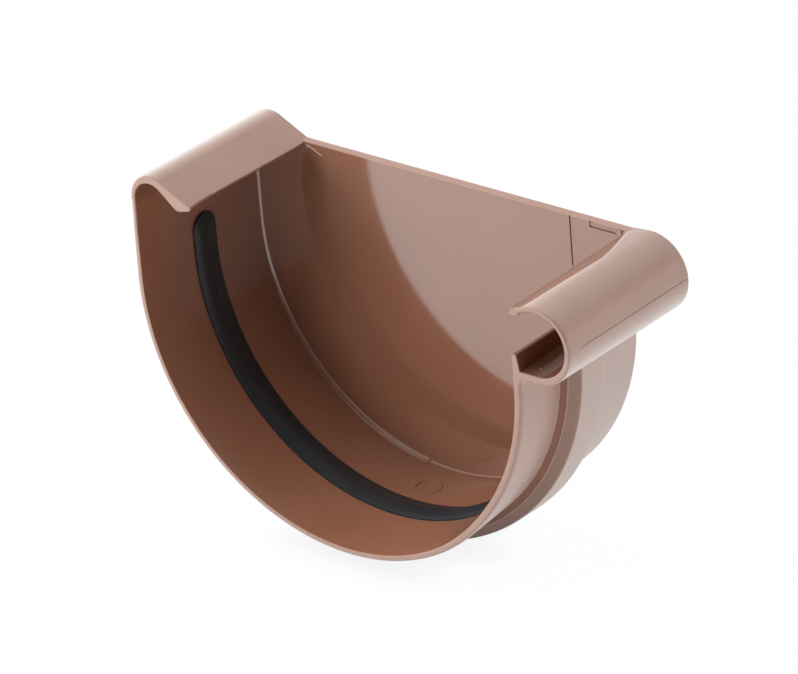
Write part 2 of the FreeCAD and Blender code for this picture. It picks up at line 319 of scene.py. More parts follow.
@dataclass(frozen=True)
class MouldedPvc:
    """Brown moulded PVC: glossy and deep where the core shaped it, satin on the outside, where the paler colour is a
    painted sheen.
    """

    name: str = "moulded_brown_pvc"
    polish_and_painted_light_mark: str = "polish"
    shade_mark: str = "shade"
    # Looks by level, palest first: the palest is a painted highlight, the next two are pale with painted light and a
    # painted sheen, the fourth and fifth are darker with painted shade, and the last two are the plain brown of the
    # core.
    looks: tuple[Look, ...] = (
        Look((0.61, 0.49, 0.445), 0.38, shine=0.9), Look((0.52, 0.385, 0.335), 0.35, shine=0.45),
        Look((0.46, 0.28, 0.22), 0.31, shine=0.35), Look((0.37, 0.235, 0.185), 0.30, gloss=0.2, shine=0.0),
        Look((0.33, 0.165, 0.11), 0.30, gloss=0.12, shine=0.0), Look((0.30, 0.130, 0.077), 0.14),
        Look((0.30, 0.130, 0.077), 0.07, shine=1.0))
    tint_spread: float = 0.10
    haze: float = 0.05
    spots: tuple[Spot, ...] = (
        Spot((64.7 * MM, 29.4 * MM, 24.0 * MM), 0.45 * MM, (0.012, 0.008, 0.007)),
        Spot((64.9 * MM, 47.6 * MM, 25.9 * MM), 0.35 * MM, (0.02, 0.012, 0.01)),
        Spot((70.0 * MM, 4.3 * MM, 5.8 * MM), 0.4 * MM, (0.62, 0.42, 0.33)),
        Spot((-11.7 * MM, 2.8 * MM, -62.8 * MM), 0.3 * MM, (0.5, 0.3, 0.22)),
    )
    coat_ior: float = 2.0
    cloud_scale: float = 38.0
    ripple_scale: float = 95.0
    ripple_height: float = 0.00009
    peel_scale: float = 900.0
    peel_height: float = 0.000004

    def mark(self, obj: bpy.types.Object, name: str, value_of: Callable[[Vector, Vector], float]) -> None:
        """Store a value on each face.

        Args:
            obj: The moulding.
            name: The mark's name.
            value_of: Tells the value from a face's centre and normal.
        """
        layer = obj.data.attributes.new(name, "FLOAT", "FACE")
        layer.data.foreach_set("value", [value_of(face.center, face.normal) for face in obj.data.polygons])

    def material(self) -> bpy.types.Material:
        """Build the material and return it."""
        made = bpy.data.materials.new(self.name)
        made.use_nodes = True
        made.node_tree.nodes.clear()
        sheet = NodeSheet(made.node_tree)
        place = sheet.add("ShaderNodeTexCoord").outputs["Object"]
        # The polish mark picks each face's level, and with it the painted highlight, painted sheen or painted shade of
        # that level.
        polish = sheet.add("ShaderNodeAttribute", attribute_name=self.polish_and_painted_light_mark).outputs["Fac"]
        shade = sheet.add("ShaderNodeAttribute", attribute_name=self.shade_mark).outputs["Fac"]
        satin = sheet.math("SUBTRACT", 1.0, polish)
        clouds = sheet.add("ShaderNodeTexNoise", {"Vector": place, "Scale": self.cloud_scale, "Detail": 4.0})
        cloudy = sheet.math("SUBTRACT", clouds.outputs["Fac"], 0.5)
        # The tints by level carry the painted highlights, painted sheen and painted shade of the levels.
        tints = sheet.add("ShaderNodeValToRGB", {"Fac": polish})
        layers = sheet.add("ShaderNodeValToRGB", {"Fac": polish})
        for level, look in zip(PolishAndPaintedLight, self.looks):
            for node, colour in ((tints, look.tint), (layers, (look.gloss, look.shine, look.roughness))):
                stops = node.color_ramp.elements
                ends = {PolishAndPaintedLight.PAINTED_HIGHLIGHT: stops[0], PolishAndPaintedLight.MIRROR: stops[-1]}
                stop = ends.get(level) or stops.new(level.value)
                stop.color = (*colour, 1.0)
        layer = sheet.add("ShaderNodeSeparateColor", {"Color": layers.outputs["Color"]}).outputs
        # The shade mark darkens the colour as painted shade, and weakens the coat with it.
        lighter = sheet.math("MULTIPLY", sheet.math("MULTIPLY_ADD", cloudy, self.tint_spread * 2, 1.0), shade)
        tint = sheet.add("ShaderNodeVectorMath", {0: tints.outputs["Color"], "Scale": lighter}, operation="SCALE")
        colour = tint.outputs[0]
        for spot in self.spots:
            away = sheet.add("ShaderNodeVectorMath", {0: place, 1: spot.place}, operation="DISTANCE")
            uneven = sheet.math("MULTIPLY_ADD", cloudy, spot.radius, away.outputs["Value"])
            cover = sheet.add("ShaderNodeMapRange", {"Value": uneven, "From Min": spot.radius * 0.6,
                                                     "From Max": spot.radius, "To Min": 1.0, "To Max": 0.0})
            colour = sheet.add("ShaderNodeMix", {0: cover.outputs[0], 6: colour, 7: (*spot.colour, 1.0)},
                               data_type="RGBA").outputs[2]
        rough = sheet.math("MULTIPLY_ADD", cloudy, self.haze, layer["Blue"])
        ripple = sheet.add("ShaderNodeTexNoise", {"Vector": place, "Scale": self.ripple_scale, "Detail": 1.0})
        waves = sheet.add("ShaderNodeBump", {"Height": sheet.math("MULTIPLY", ripple.outputs["Fac"], satin),
                                             "Distance": self.ripple_height, "Strength": 1.0})
        peel = sheet.add("ShaderNodeTexNoise", {"Vector": place, "Scale": self.peel_scale, "Detail": 2.0})
        grain = sheet.add("ShaderNodeBump", {"Height": sheet.math("MULTIPLY", peel.outputs["Fac"], satin),
                                             "Distance": self.peel_height, "Strength": 1.0,
                                             "Normal": waves.outputs[0]})
        shader = sheet.add("ShaderNodeBsdfPrincipled", {
            "Base Color": colour, "Roughness": rough, "Normal": grain.outputs[0], "IOR": 1.5,
            "Specular IOR Level": layer["Red"], "Coat Weight": sheet.math("MULTIPLY", layer["Green"], shade),
            "Coat IOR": self.coat_ior, "Coat Roughness": rough,
            "Coat Normal": grain.outputs[0]})
        sheet.add("ShaderNodeOutputMaterial", {"Surface": shader.outputs[0]})
        return made


@dataclass(frozen=True)
class BlackRubber:
    """Soft black rubber of the seal, with a dull grain and a little grey dust."""

    name: str = "black_seal_rubber"
    black: tuple[float, float, float] = (0.0145, 0.0155, 0.0195)
    dusty: tuple[float, float, float] = (0.031, 0.033, 0.039)
    grain_scale: float = 700.0
    grain_height: float = 0.00003
    roughness_low: float = 0.38
    roughness_high: float = 0.55
    gloss: float = 0.38

    def material(self) -> bpy.types.Material:
        """Build the material and return it."""
        made = bpy.data.materials.new(self.name)
        made.use_nodes = True
        made.node_tree.nodes.clear()
        sheet = NodeSheet(made.node_tree)
        place = sheet.add("ShaderNodeTexCoord").outputs["Object"]
        dust = sheet.add("ShaderNodeTexNoise", {"Vector": place, "Scale": self.grain_scale / 6, "Detail": 6.0})
        tint = sheet.add("ShaderNodeMix", {0: dust.outputs["Fac"], 6: (*self.black, 1.0),
                                           7: (*self.dusty, 1.0)}, data_type="RGBA")
        rough = sheet.add("ShaderNodeMapRange", {"Value": dust.outputs["Fac"], "From Min": 0.3, "From Max": 0.7,
                                                 "To Min": self.roughness_low, "To Max": self.roughness_high})
        grain = sheet.add("ShaderNodeTexNoise", {"Vector": place, "Scale": self.grain_scale, "Detail": 3.0})
        bump = sheet.add("ShaderNodeBump", {"Height": grain.outputs["Fac"], "Distance": self.grain_height,
                                            "Strength": 1.0})
        shader = sheet.add("ShaderNodeBsdfPrincipled", {"Base Color": tint.outputs[2],
                                                        "Roughness": rough.outputs[0],
                                                        "Specular IOR Level": self.gloss,
                                                        "Normal": bump.outputs[0], "IOR": 1.5})
        sheet.add("ShaderNodeOutputMaterial", {"Surface": shader.outputs[0]})
        return made


@dataclass
class SocketForm:
    """Sizes that the socket shares with the pieces that are moulded on it, in metres."""

    depth: float = 50.2 * MM
    plate_thickness: float = 2.4 * MM
    plate_top: float = 26.5 * MM
    mouth_radius: float = 64.0 * MM
    wall_draft: float = 1.0 * MM
    rim_wall: float = 2.2 * MM
    rear_wall: float = 2.5 * MM
    rim_depth: float = 1.6 * MM
    rim_round: float = 1.0 * MM
    mouth_bevel: float = 0.15 * MM
    lead_length: float = 7.0 * MM
    lead_inside: float = 0.8 * MM
    lead_outside: float = 0.45 * MM
    lead_fade: float = 0.5
    lead_from: float = -35.0
    lead_to: float = -62.0
    corner_fillet: float = 1.0 * MM
    bulge_start: float = 18.0 * MM
    bulge_length: float = 12.9 * MM
    bulge_height: float = 4.7 * MM
    bulge_foot_wall: float = 1.4 * MM
    hook_base: float = 15.0 * MM

    @property
    def plate_face(self) -> float:
        """Depth of the end plate's inner face."""
        return self.depth - self.plate_thickness

    @property
    def plate_radius(self) -> float:
        """Inside radius of the socket at the end plate."""
        return self.mouth_radius - self.wall_draft

    @property
    def foot_radius(self) -> float:
        """Outside radius of the socket at the foot of the bulge."""
        return self.inner_radius(self.bulge_start) + self.bulge_foot_wall

    def inner_radius(self, y: float) -> float:
        """Return the socket's inside radius at a depth."""
        share = max(y - self.rim_depth, 0.0) / (self.plate_face - self.rim_depth)
        return self.mouth_radius - self.wall_draft * share

    def outer_radius(self, y: float) -> float:
        """Return the socket's outside radius at a depth, without the bulge."""
        rim = self.mouth_radius + self.rim_wall
        rear = self.plate_radius + self.rear_wall
        bulge_end = self.bulge_start + self.bulge_length
        if y <= self.rim_depth:
            return rim
        if y <= self.bulge_start:
            share = (y - self.rim_depth) / (self.bulge_start - self.rim_depth)
            return rim + (self.foot_radius - rim) * share
        if y <= bulge_end:
            share = (y - self.bulge_start) / self.bulge_length
            return self.foot_radius + (rear - self.foot_radius) * share
        return rear

    def depths(self) -> list[float]:
        """Return the depths at which a long moulding gets a section, close together at the rounded rim."""
        steps = 7
        rounded = [self.rim_round * (1 - math.cos(math.pi / 2 * i / steps)) for i in range(steps + 1)]
        long_steps = 12
        rest = [self.rim_depth + (self.depth - self.rim_depth) * i / long_steps for i in range(long_steps + 1)]
        return sorted(set([self.mouth_bevel, self.bulge_start] + rounded + rest))

    def rim_inset(self, y: float) -> float:
        """Return how far the rounded outer edge of the rim stands back at a depth."""
        left = max(self.rim_round - y, 0.0)
        return self.rim_round - math.sqrt(max(self.rim_round ** 2 - left ** 2, 0.0))

    def lead(self, y: float) -> float:
        """Return the share of the mouth's widening that is left at a depth, from 1 at the rim to 0."""
        return max(1 - y / self.lead_length, 0.0)

    def lead_share(self, x: float, z: float) -> float:
        """Return the share of the mouth's widening at a place round the socket; the bead's side has none."""
        if x < 0:
            return 1.0
        angle = math.degrees(math.atan2(z, x))
        share = min(max((angle - self.lead_from) / (self.lead_to - self.lead_from), 0.0), 1.0)
        return share * share * (3 - 2 * share)

    def mouth_inset(self, y: float) -> float:
        """Return how far the bevel at the mouth opens the inside at a depth."""
        return max(self.mouth_bevel - y, 0.0)


@dataclass
class SocketSweep:
    """A tree of geometry nodes that sweeps an outline round the socket and straight up both its sides."""

    form: SocketForm
    arc_steps: int = 360
    side_steps: int = 1

    def tree(self) -> bpy.types.NodeTree:
        """Build the tree of nodes, with named inputs for its sizes."""
        tree = bpy.data.node_groups.new("socket_sweep", "GeometryNodeTree")
        face = tree.interface
        face.new_socket("Outline", in_out="INPUT", socket_type="NodeSocketGeometry")
        for name in ("Bend Radius", "Hook Side Height", "Bead Side Height"):
            face.new_socket(name, in_out="INPUT", socket_type="NodeSocketFloat")
        for name in ("Bend Steps", "Side Steps"):
            face.new_socket(name, in_out="INPUT", socket_type="NodeSocketInt")
        face.new_socket("Material", in_out="INPUT", socket_type="NodeSocketMaterial")
        face.new_socket("Swept", in_out="OUTPUT", socket_type="NodeSocketGeometry")
        sheet = NodeSheet(tree)
        given = sheet.add("NodeGroupInput").outputs
        radius, steps, side = given["Bend Radius"], given["Bend Steps"], given["Side Steps"]
        index = sheet.add("GeometryNodeInputIndex").outputs[0]
        done = sheet.math("SUBTRACT", index, side)
        angle = sheet.math("MULTIPLY", sheet.clamped("DIVIDE", done, steps), math.pi)
        across = sheet.math("MULTIPLY", radius, sheet.math("MULTIPLY", sheet.math("COSINE", angle), -1.0))
        sag = sheet.math("MULTIPLY", radius, sheet.math("MULTIPLY", sheet.math("SINE", angle), -1.0))
        before = sheet.clamped("DIVIDE", sheet.math("SUBTRACT", side, index), side)
        after = sheet.clamped("DIVIDE", sheet.math("SUBTRACT", done, steps), side)
        first = sheet.math("MULTIPLY", before, given["Hook Side Height"])
        last = sheet.math("MULTIPLY", after, given["Bead Side Height"])
        height = sheet.math("ADD", sag, sheet.math("ADD", first, last))
        count = sheet.math("ADD", sheet.math("MULTIPLY_ADD", side, 2.0, steps), 1.0)
        line = sheet.add("GeometryNodeCurvePrimitiveLine")
        path = sheet.add("GeometryNodeResampleCurve", {"Curve": line.outputs[0], "Count": count})
        place = sheet.add("ShaderNodeCombineXYZ", {"X": across, "Z": height})
        path = sheet.add("GeometryNodeSetPosition", {"Geometry": path.outputs[0], "Position": place.outputs[0]})
        outline = sheet.add("GeometryNodeMeshToCurve", {"Mesh": given["Outline"]})
        swept = sheet.add("GeometryNodeCurveToMesh", {"Curve": path.outputs[0], "Profile Curve": outline.outputs[0],
                                                      "Fill Caps": True})
        real = sheet.add("GeometryNodeRealizeInstances", {"Geometry": swept.outputs[0]})
        dressed = sheet.add("GeometryNodeSetMaterial", {"Geometry": real.outputs[0],
                                                        "Material": given["Material"]})
        sheet.add("NodeGroupOutput", {"Swept": dressed.outputs[0]})
        return tree

    def sweep(self, name: str, outline: Outline, hook_height: float, bead_height: float,
              material: bpy.types.Material) -> bpy.types.Object:
        """Sweep one closed outline round the socket.

        Args:
            name: The new object's name.
            outline: Points as (radius, depth).
            hook_height: How far the sweep runs up the hook's side, from the origin.
            bead_height: How far it runs up the bead's side.
            material: The finish.

        Returns:
            The swept mesh, closed, with outward faces.
        """
        bend = self.form.mouth_radius
        points = [(bend - radius, -depth, 0.0) for radius, depth in outline]
        mesh = bpy.data.meshes.new(name)
        mesh.from_pydata(points, [(i, (i + 1) % len(points)) for i in range(len(points))], [])
        obj = bpy.data.objects.new(name, mesh)
        bpy.context.scene.collection.objects.link(obj)
        tree = bpy.data.node_groups.get("socket_sweep") or self.tree()
        step = obj.modifiers.new("sweep", "NODES")
        step.node_group = tree
        values = {"Bend Radius": bend, "Hook Side Height": hook_height, "Bead Side Height": bead_height,
                  "Bend Steps": self.arc_steps, "Side Steps": self.side_steps, "Material": material}
        for item in tree.interface.items_tree:
            if item.name in values:
                step[item.identifier] = values[item.name]
        bake_modifiers(obj)
        face_outwards(obj)
        return obj


@dataclass
class SealGroove:
    """The groove inside the bulge, and how high it runs on each side."""

    form: SocketForm
    start: float = 20.3 * MM
    width: float = 9.2 * MM
    depth: float = 3.6 * MM
    corner: float = 1.2 * MM
    hook_top: float = 9.9 * MM
    bead_top: float = 2.6 * MM

    @property
    def floor(self) -> float:
        """Radius of the groove's floor."""
        return self.form.inner_radius(self.start) + self.depth

    def outline(self) -> Outline:
        """Return the groove's section, which reaches into the open socket."""
        low = self.form.inner_radius(self.start) - 5 * MM
        back = self.start + self.width
        return [(low, self.start), (self.floor - self.corner, self.start), (self.floor, self.start + self.corner),
                (self.floor, back), (low, back)]

    def stop(self, side: Side, gap: float) -> bpy.types.Object:
        """Return a tall plate with a round head, which ends the groove or the seal on one side.

        Args:
            side: The socket's side.
            gap: How much narrower than the groove it is on each side.

        Returns:
            The closed mesh.
        """
        half = self.width / 2 - gap
        top = self.hook_top if side is Side.HOOK else self.bead_top
        level = top - self.width / 2
        middle = self.start + self.width / 2
        foot = -2 * self.form.mouth_radius
        side_view = [(middle - half, foot)] + arc((middle, level), half, 180, 0, 32) + [(middle + half, foot)]
        reach = side.value * 2 * self.form.mouth_radius
        near = side.value * 20 * MM
        return loft("stop", [[(x, y, z) for y, z in side_view] for x in (near, reach)])

    def trimmed(self, sweep: SocketSweep, outline: Outline, gap: float, material: bpy.types.Material,
                name: str) -> bpy.types.Object:
        """Sweep a section round the socket and give it a round head on each side.

        Args:
            sweep: The sweep that carries it round.
            outline: The section as (radius, depth).
            gap: How much narrower than the groove its heads are.
            material: The finish.
            name: The new object's name.

        Returns:
            The closed mesh.
        """
        body = sweep.sweep(name, outline, self.hook_top, self.bead_top, material)
        heads = []
        for side in Side:
            block = self.stop(side, gap)
            top = self.hook_top if side is Side.HOOK else self.bead_top
            reach = 2 * self.form.mouth_radius
            low = top - self.width / 2 - 1 * MM
            cutter = box_mesh("over", (side.value * 20 * MM, self.start - 5 * MM, low),
                              (side.value * reach, self.start + self.width + 5 * MM, top + 5 * MM))
            heads.append(combine(cutter, [block], Solver.CUT))
        return combine(body, heads, Solver.CUT)


def box_mesh(name: str, low: tuple[float, float, float], high: tuple[float, float, float]) -> bpy.types.Object:
    """Return a closed box between two corners."""
    (x0, y0, z0), (x1, y1, z1) = low, high
    rings = [[(x0, y, z0), (x1, y, z0), (x1, y, z1), (x0, y, z1)] for y in (y0, y1)]
    return loft(name, rings)


@dataclass
class Socket:
    """The half-round wall with its bulge."""

    form: SocketForm
    sweep: SocketSweep
    crease_rise: float = 1.9 * MM
    crease_run: float = 0.9 * MM
    flank_run: float = 3.0 * MM
    edge_bevel: float = 0.55 * MM
    edge_line: float = 0.28 * MM
    brow_round: float = 0.8 * MM
    bulge_hook_top: float = 13.4 * MM
    bulge_bead_top: float = 4.4 * MM

    def wall_outline(self) -> Outline:
        """Return the wall's section, with the rounded rim and the fillet in front of the end plate."""
        form = self.form
        rim = form.mouth_radius + form.rim_wall
        inside = [(form.inner_radius(form.lead_length), form.lead_length),
                  (form.inner_radius(form.rim_depth), form.rim_depth), (form.mouth_radius, form.mouth_bevel),
                  (form.mouth_radius + form.mouth_bevel, 0.0)]
        rounded = [(r, y) for r, y in arc((rim - form.rim_round, form.rim_round), form.rim_round, -90, 0, 10)]
        before = form.bulge_start - self.edge_line
        outside = [(rim, form.rim_depth), (form.outer_radius(before), before), (form.foot_radius, form.bulge_start),
                   (form.outer_radius(form.depth), form.bulge_start + form.bulge_length),
                   (form.outer_radius(form.depth), form.depth)]
        fillet = form.corner_fillet
        corner = form.inner_radius(form.plate_face - fillet)
        bend = [(r, y) for r, y in arc((corner - fillet, form.plate_face - fillet), fillet, 90, 0, 10)]
        back = [(corner - fillet, form.depth - 0.2 * MM), (form.outer_radius(form.depth) - 1 * MM, form.depth)]
        return inside + rounded + outside + back[::-1] + bend

    def bulge_outline(self) -> Outline:
        """Return the section of the bulge that houses the seal."""
        form = self.form
        foot = form.foot_radius
        inside = foot - form.bulge_foot_wall / 2
        crest = foot + form.bulge_height
        back = form.bulge_start + form.bulge_length
        bevel = self.edge_bevel
        crown = arc((crest - bevel, back - bevel), bevel, 0, 90, 5)
        low = (foot, form.bulge_start)
        knee = (foot + self.crease_rise, form.bulge_start + self.crease_run)
        high = (crest, form.bulge_start + self.flank_run)
        knee_bend = bend_through(towards(knee, low, self.edge_line / 2), knee,
                                 towards(knee, high, self.edge_line / 2), 3)
        brow = bend_through(towards(high, knee, self.brow_round), high,
                            (crest, form.bulge_start + self.flank_run + self.brow_round), 6)
        return [(inside, form.bulge_start), low] + knee_bend + brow + crown + [(inside, back)]

    def widen_mouth(self, wall: bpy.types.Object) -> None:
        """Thin the wall towards the rim on the hook's side and at the bottom, as a lead-in for the gutter."""
        form = self.form
        for vertex in wall.data.vertices:
            x, y, z = vertex.co
            share = form.lead(y) * form.lead_share(x, z)
            if share > 0:
                low = min(z, 0.0)
                radius = math.hypot(x, low)
                half = form.mouth_radius + form.rim_wall / 4
                fade = 1 - form.lead_fade * max(z, 0.0) / form.hook_base
                out = form.lead_inside if radius < half else form.lead_outside * fade
                scale = (radius + out * share) / radius
                vertex.co.x = x * scale
                vertex.co.z = z if z > 0 else z * scale

    def build(self, material: bpy.types.Material) -> bpy.types.Object:
        """Build the wall and the bulge as one closed mesh."""
        wall = self.sweep.sweep("cap_body_visual", self.wall_outline(), self.form.hook_base,
                                self.bulge_bead_top, material)
        self.widen_mouth(wall)
        bulge = self.sweep.sweep("bulge", self.bulge_outline(), self.bulge_hook_top, self.bulge_bead_top, material)
        return combine(wall, [bulge], Solver.UNION)


@dataclass
class BackHook:
    """The hook on the back: a leg, a round top and a sloping tongue that ends in a rounded lobe."""

    form: SocketForm
    centre_z: float = 24.0 * MM
    slot_radius: float = 5.7 * MM
    wall: float = 2.0 * MM
    slope: float = 26.0
    tongue_reach: float = 10.9 * MM
    edge_radius: float = 0.5 * MM
    lobe_radius: float = 2.1 * MM
    lobe_across: float = 8.75 * MM
    lobe_rise: float = 1.6 * MM
    shoulder: float = 4.0 * MM
    lead_left: float = 0.6 * MM
    lead_down: float = 0.35 * MM
    lead_right: float = 0.6 * MM
    rim_share: float = 0.6
    # How much painted highlight lightens the crown.
    crown_painted_highlight: float = 0.95
    crown_turn: float = 0.62
    leg_turn: float = 0.4

    @property
    def centre(self) -> Point:
        """Centre of the round top, as (x, z)."""
        return self.slot_radius - self.form.mouth_radius, self.centre_z

    @property
    def outer_radius(self) -> float:
        """Outside radius of the round top."""
        return self.slot_radius + self.wall

    @property
    def over(self) -> float:
        """Angle at which the round top goes over into the tongue."""
        return 90.0 - self.slope

    def section(self, y: float) -> Outline:
        """Return the hook's section at a depth, drawn back where the rim is rounded."""
        inset = self.form.rim_inset(y) * self.rim_share
        opened = self.form.mouth_inset(y)
        lead = self.form.lead(y)
        cx, cz = self.centre
        slot_x, slot_z = cx - self.lead_left * lead, cz - self.lead_down * lead
        outer = self.outer_radius - inset
        inner = self.form.inner_radius(y) + cx + opened
        lobe_radius = self.lobe_radius - opened
        base = self.form.hook_base
        wall_outside = self.form.outer_radius(y) - self.form.rim_inset(y)
        wall_outside += self.form.lead_outside * self.form.lead_fade * lead
        start = around(self.centre, outer, self.over)
        tongue = around(start, self.tongue_reach + self.lead_right * lead - inset * 0.4, -self.slope)
        corner = around(around(tongue, self.edge_radius, self.over), -2 * self.edge_radius, self.over)
        lobe = (cx + self.lobe_across + self.lead_right * lead, cz + self.lobe_rise)
        apart = math.dist(corner, lobe)
        aim = math.degrees(math.atan2(lobe[1] - corner[1], lobe[0] - corner[0])) % 360
        under = aim + math.degrees(math.acos((self.edge_radius - lobe_radius) / apart))
        under = (under + 180) % 360 - 180
        apart = math.dist(lobe, (slot_x, slot_z))
        aim = math.degrees(math.atan2(lobe[1] - slot_z, lobe[0] - slot_x))
        turn = aim + math.degrees(math.acos((inner + lobe_radius) / apart))
        leg = [(-wall_outside, base), (cx - outer, base + self.shoulder)]
        top = arc((cx, cz), outer, 180, self.over, 40)
        edge = arc(corner, self.edge_radius, self.over, under, 8)
        lobe_arc = arc(lobe, lobe_radius, under, turn - 180, 22)
        slot = arc((slot_x, slot_z), inner, turn, 180, 40)
        foot = cx - inner - self.form.lead_inside * lead
        return leg + top + edge + lobe_arc + slot + [(foot, base)]

    def build(self) -> bpy.types.Object:
        """Build the hook from the open rim to the back of the cap."""
        return loft("hook", [[(x, y, z) for x, z in self.section(y)] for y in self.form.depths()])

    def share_without_painted_highlight(self, normal: Vector) -> float:
        """Return the share of the satin level on a face of the outside, the rest going to the painted highlight level:
        less on the crown than on the tongue.
        """
        back = (math.sin(math.radians(self.slope)) - normal.x) / self.crown_turn
        beyond = (normal.x + 1) / self.leg_turn
        return 1 - self.crown_painted_highlight * min(max(back, 0.0), 1.0) * min(beyond, 1.0)

    def is_cored(self, centre: Vector, normal: Vector) -> bool:
        """Tell whether a face lies in the hook's slot, from its centre and normal."""
        apart = math.dist((centre.x, centre.z), self.centre)
        in_slot = apart < self.slot_radius + self.wall / 2
        under_tongue = centre.z > self.form.hook_base and centre.x > self.centre[0] and normal.z < -0.2
        return centre.y < self.form.plate_face and (in_slot or under_tongue)

    def end_outline(self) -> Outline:
        """Return the outline of the plate inside the hook."""
        cx, cz = self.centre
        middle = self.outer_radius - self.wall / 2
        start = around(self.centre, middle, self.over)
        end = around(start, self.tongue_reach / 2, -self.slope)
        return [(cx - middle, self.form.hook_base)] + arc((cx, cz), middle, 180, self.over, 24) + [
            end, (end[0], self.form.hook_base)]


@dataclass
class FrontBead:
    """The bead on the front: a C-shaped tube with a flat floor, and a lip that flares up to the end plate."""

    form: SocketForm
    offset: float = 8.4 * MM
    centre_z: float = 14.6 * MM
    outer_radius: float = 11.0 * MM
    wall: float = 1.7 * MM
    bore_lift: float = 0.4 * MM
    rear_rise: float = 0.9 * MM
    rear_spread: float = 0.4 * MM
    bore_draft: float = 0.4 * MM
    tip_height: float = 10.3 * MM
    tip_thickness: float = 1.4 * MM
    tip_bevel: float = 0.25 * MM
    floor_corner: float = 2.4 * MM
    underside_round: float = 2.4 * MM
    lip_start: float = 125.0
    lip_end: float = 232.0
    lip_bend: float = 1.2 * MM
    lip_thickness: float = 1.6 * MM
    lip_sag: float = 0.25 * MM
    front_crest: float = 108.0
    rear_crest: float = 98.5
    flare_start: float = 31.0 * MM
    flare_end: float = 47.3 * MM
    flare_bend: float = 1.5
    flare_left: float = 66.7 * MM
    crest_round: float = 0.7 * MM
    seam_angle: float = 2.5
    seam_half_width: float = 0.9
    seam_depth: float = 0.14 * MM
    seam_fade: Point = (2.5 * MM, 9.0 * MM)
    rim_share: float = 0.72
    # Painted reflection on the underside below the seam, and painted highlight towards the top.
    painted_reflection_below: float = 38.0
    painted_highlight_span: Point = (20.0, 110.0)
    top_painted_highlight: float = 0.5

    def rim_inset(self, y: float) -> float:
        """Return how far the rim's rounded edge stands back, which is less than on the thicker socket wall."""
        return self.form.rim_inset(y) * self.rim_share

    def share(self, y: float) -> float:
        """Return how far a depth is from the rim to the back, from 0 to 1."""
        return max(y - self.form.rim_depth, 0.0) / (self.form.depth - self.form.rim_depth)

    def circle(self, y: float) -> tuple[Point, float]:
        """Return the centre and the outer radius of the tube at a depth."""
        x = self.form.mouth_radius + self.offset
        share = self.share(y)
        return (x, self.centre_z + self.rear_rise * share), self.outer_radius + self.rear_spread * share

    def bore(self, y: float) -> tuple[Point, float]:
        """Return the centre and the radius of the inside at a depth."""
        centre, _ = self.circle(y)
        radius = self.outer_radius - self.wall - self.bore_draft * self.share(y)
        return (centre[0], centre[1] + self.bore_lift), radius

    def crest(self, y: float) -> tuple[float, float, float]:
        """Return the angle at which the top leaves the tube, and the crest's x and z."""
        centre, outer = self.circle(y)
        outer -= self.rim_inset(y)
        lead = min(max(y - self.form.rim_depth, 0.0) / (self.flare_start - self.form.rim_depth), 1.0)
        angle = self.front_crest + (self.rear_crest - self.front_crest) * lead
        x, z = around(centre, outer, angle)
        flare = min(max(y - self.flare_start, 0.0) / (self.flare_end - self.flare_start), 1.0)
        flare = flare ** self.flare_bend
        return angle, x + (self.flare_left - x) * flare, z + (self.form.plate_top - z) * flare

    def tube(self, y: float, end: float) -> Outline:
        """Return the tube's outside at a depth, with the fine seam where the mould's halves met."""
        centre, outer = self.circle(y)
        outer -= self.rim_inset(y)
        low, high = self.seam_angle - self.seam_half_width, self.seam_angle + self.seam_half_width
        fade = min(max((y - self.seam_fade[0]) / (self.seam_fade[1] - self.seam_fade[0]), 0.0), 1.0)
        depth = self.seam_depth * fade
        seam = [around(centre, outer - depth * cut, low + (high - low) * t)
                for t, cut in ((0.15, 0.0), (0.35, 0.8), (0.5, 1.0), (0.75, 0.6))]
        return arc(centre, outer, -90, low, 60) + seam + arc(centre, outer, high, end, 64)

    def section(self, y: float) -> Outline:
        """Return the bead's section at a depth, drawn back where the rim is rounded."""
        form = self.form
        inset, opened = self.rim_inset(y), form.mouth_inset(y)
        centre, outer = self.circle(y)
        middle, bore = self.bore(y)
        bore += opened
        wall = form.inner_radius(y) + opened
        floor = middle[1] - bore
        under = centre[1] - outer
        bend = around(centre, outer + self.lip_bend, self.lip_start)
        back = self.lip_bend + self.lip_thickness - opened / 2
        lip_inner = self.lip_bend + inset / 2
        angle, crest_x, crest_z = self.crest(y)
        tube = self.tube(y, angle - 5)
        crest = (crest_x, crest_z)
        near = towards(crest, tube[-1], min(self.crest_round, math.dist(crest, tube[-1]) * 0.9))
        straight = [tuple(tube[-1][k] + (near[k] - tube[-1][k]) * i / 6 for k in range(2)) for i in range(1, 6)]
        tip_round = (back - lip_inner) / 2
        tip_centre = around(bend, (back + lip_inner) / 2, self.lip_end)
        tip = arc(tip_centre, tip_round, self.lip_end + 180, self.lip_end, 8)
        far = towards(crest, tip[0], self.crest_round)
        top = bend_through(near, crest, far, 6)
        slope = []
        for i in range(1, 10):
            t = i / 10
            sag = 4 * self.lip_sag * t * (1 - t)
            slope.append((far[0] + (tip[0][0] - far[0]) * t, far[1] + (tip[0][1] - far[1]) * t - sag))
        flick_under = arc(bend, back, self.lip_end, self.lip_start + 180, 12)[1:]
        inside = arc(middle, bore, self.lip_start, -90, 100)
        left = form.inner_radius(y)
        edge = self.tip_bevel
        tip_wall = [(left + self.floor_corner, floor), (left + self.tip_thickness + edge / 3, self.tip_height - edge),
                    (left + self.tip_thickness - edge, self.tip_height), (wall + edge, self.tip_height),
                    (wall, self.tip_height - edge)]
        r = self.underside_round
        outside = form.inner_radius(y) + form.rim_wall
        outside += (form.bulge_foot_wall - form.rim_wall) * self.share(y)
        fold = arc((outside + r, under - r), r + inset, 180, 90, 10)
        return tube + straight + top + slope + tip + flick_under + inside + tip_wall + [(wall, under - r)] + fold

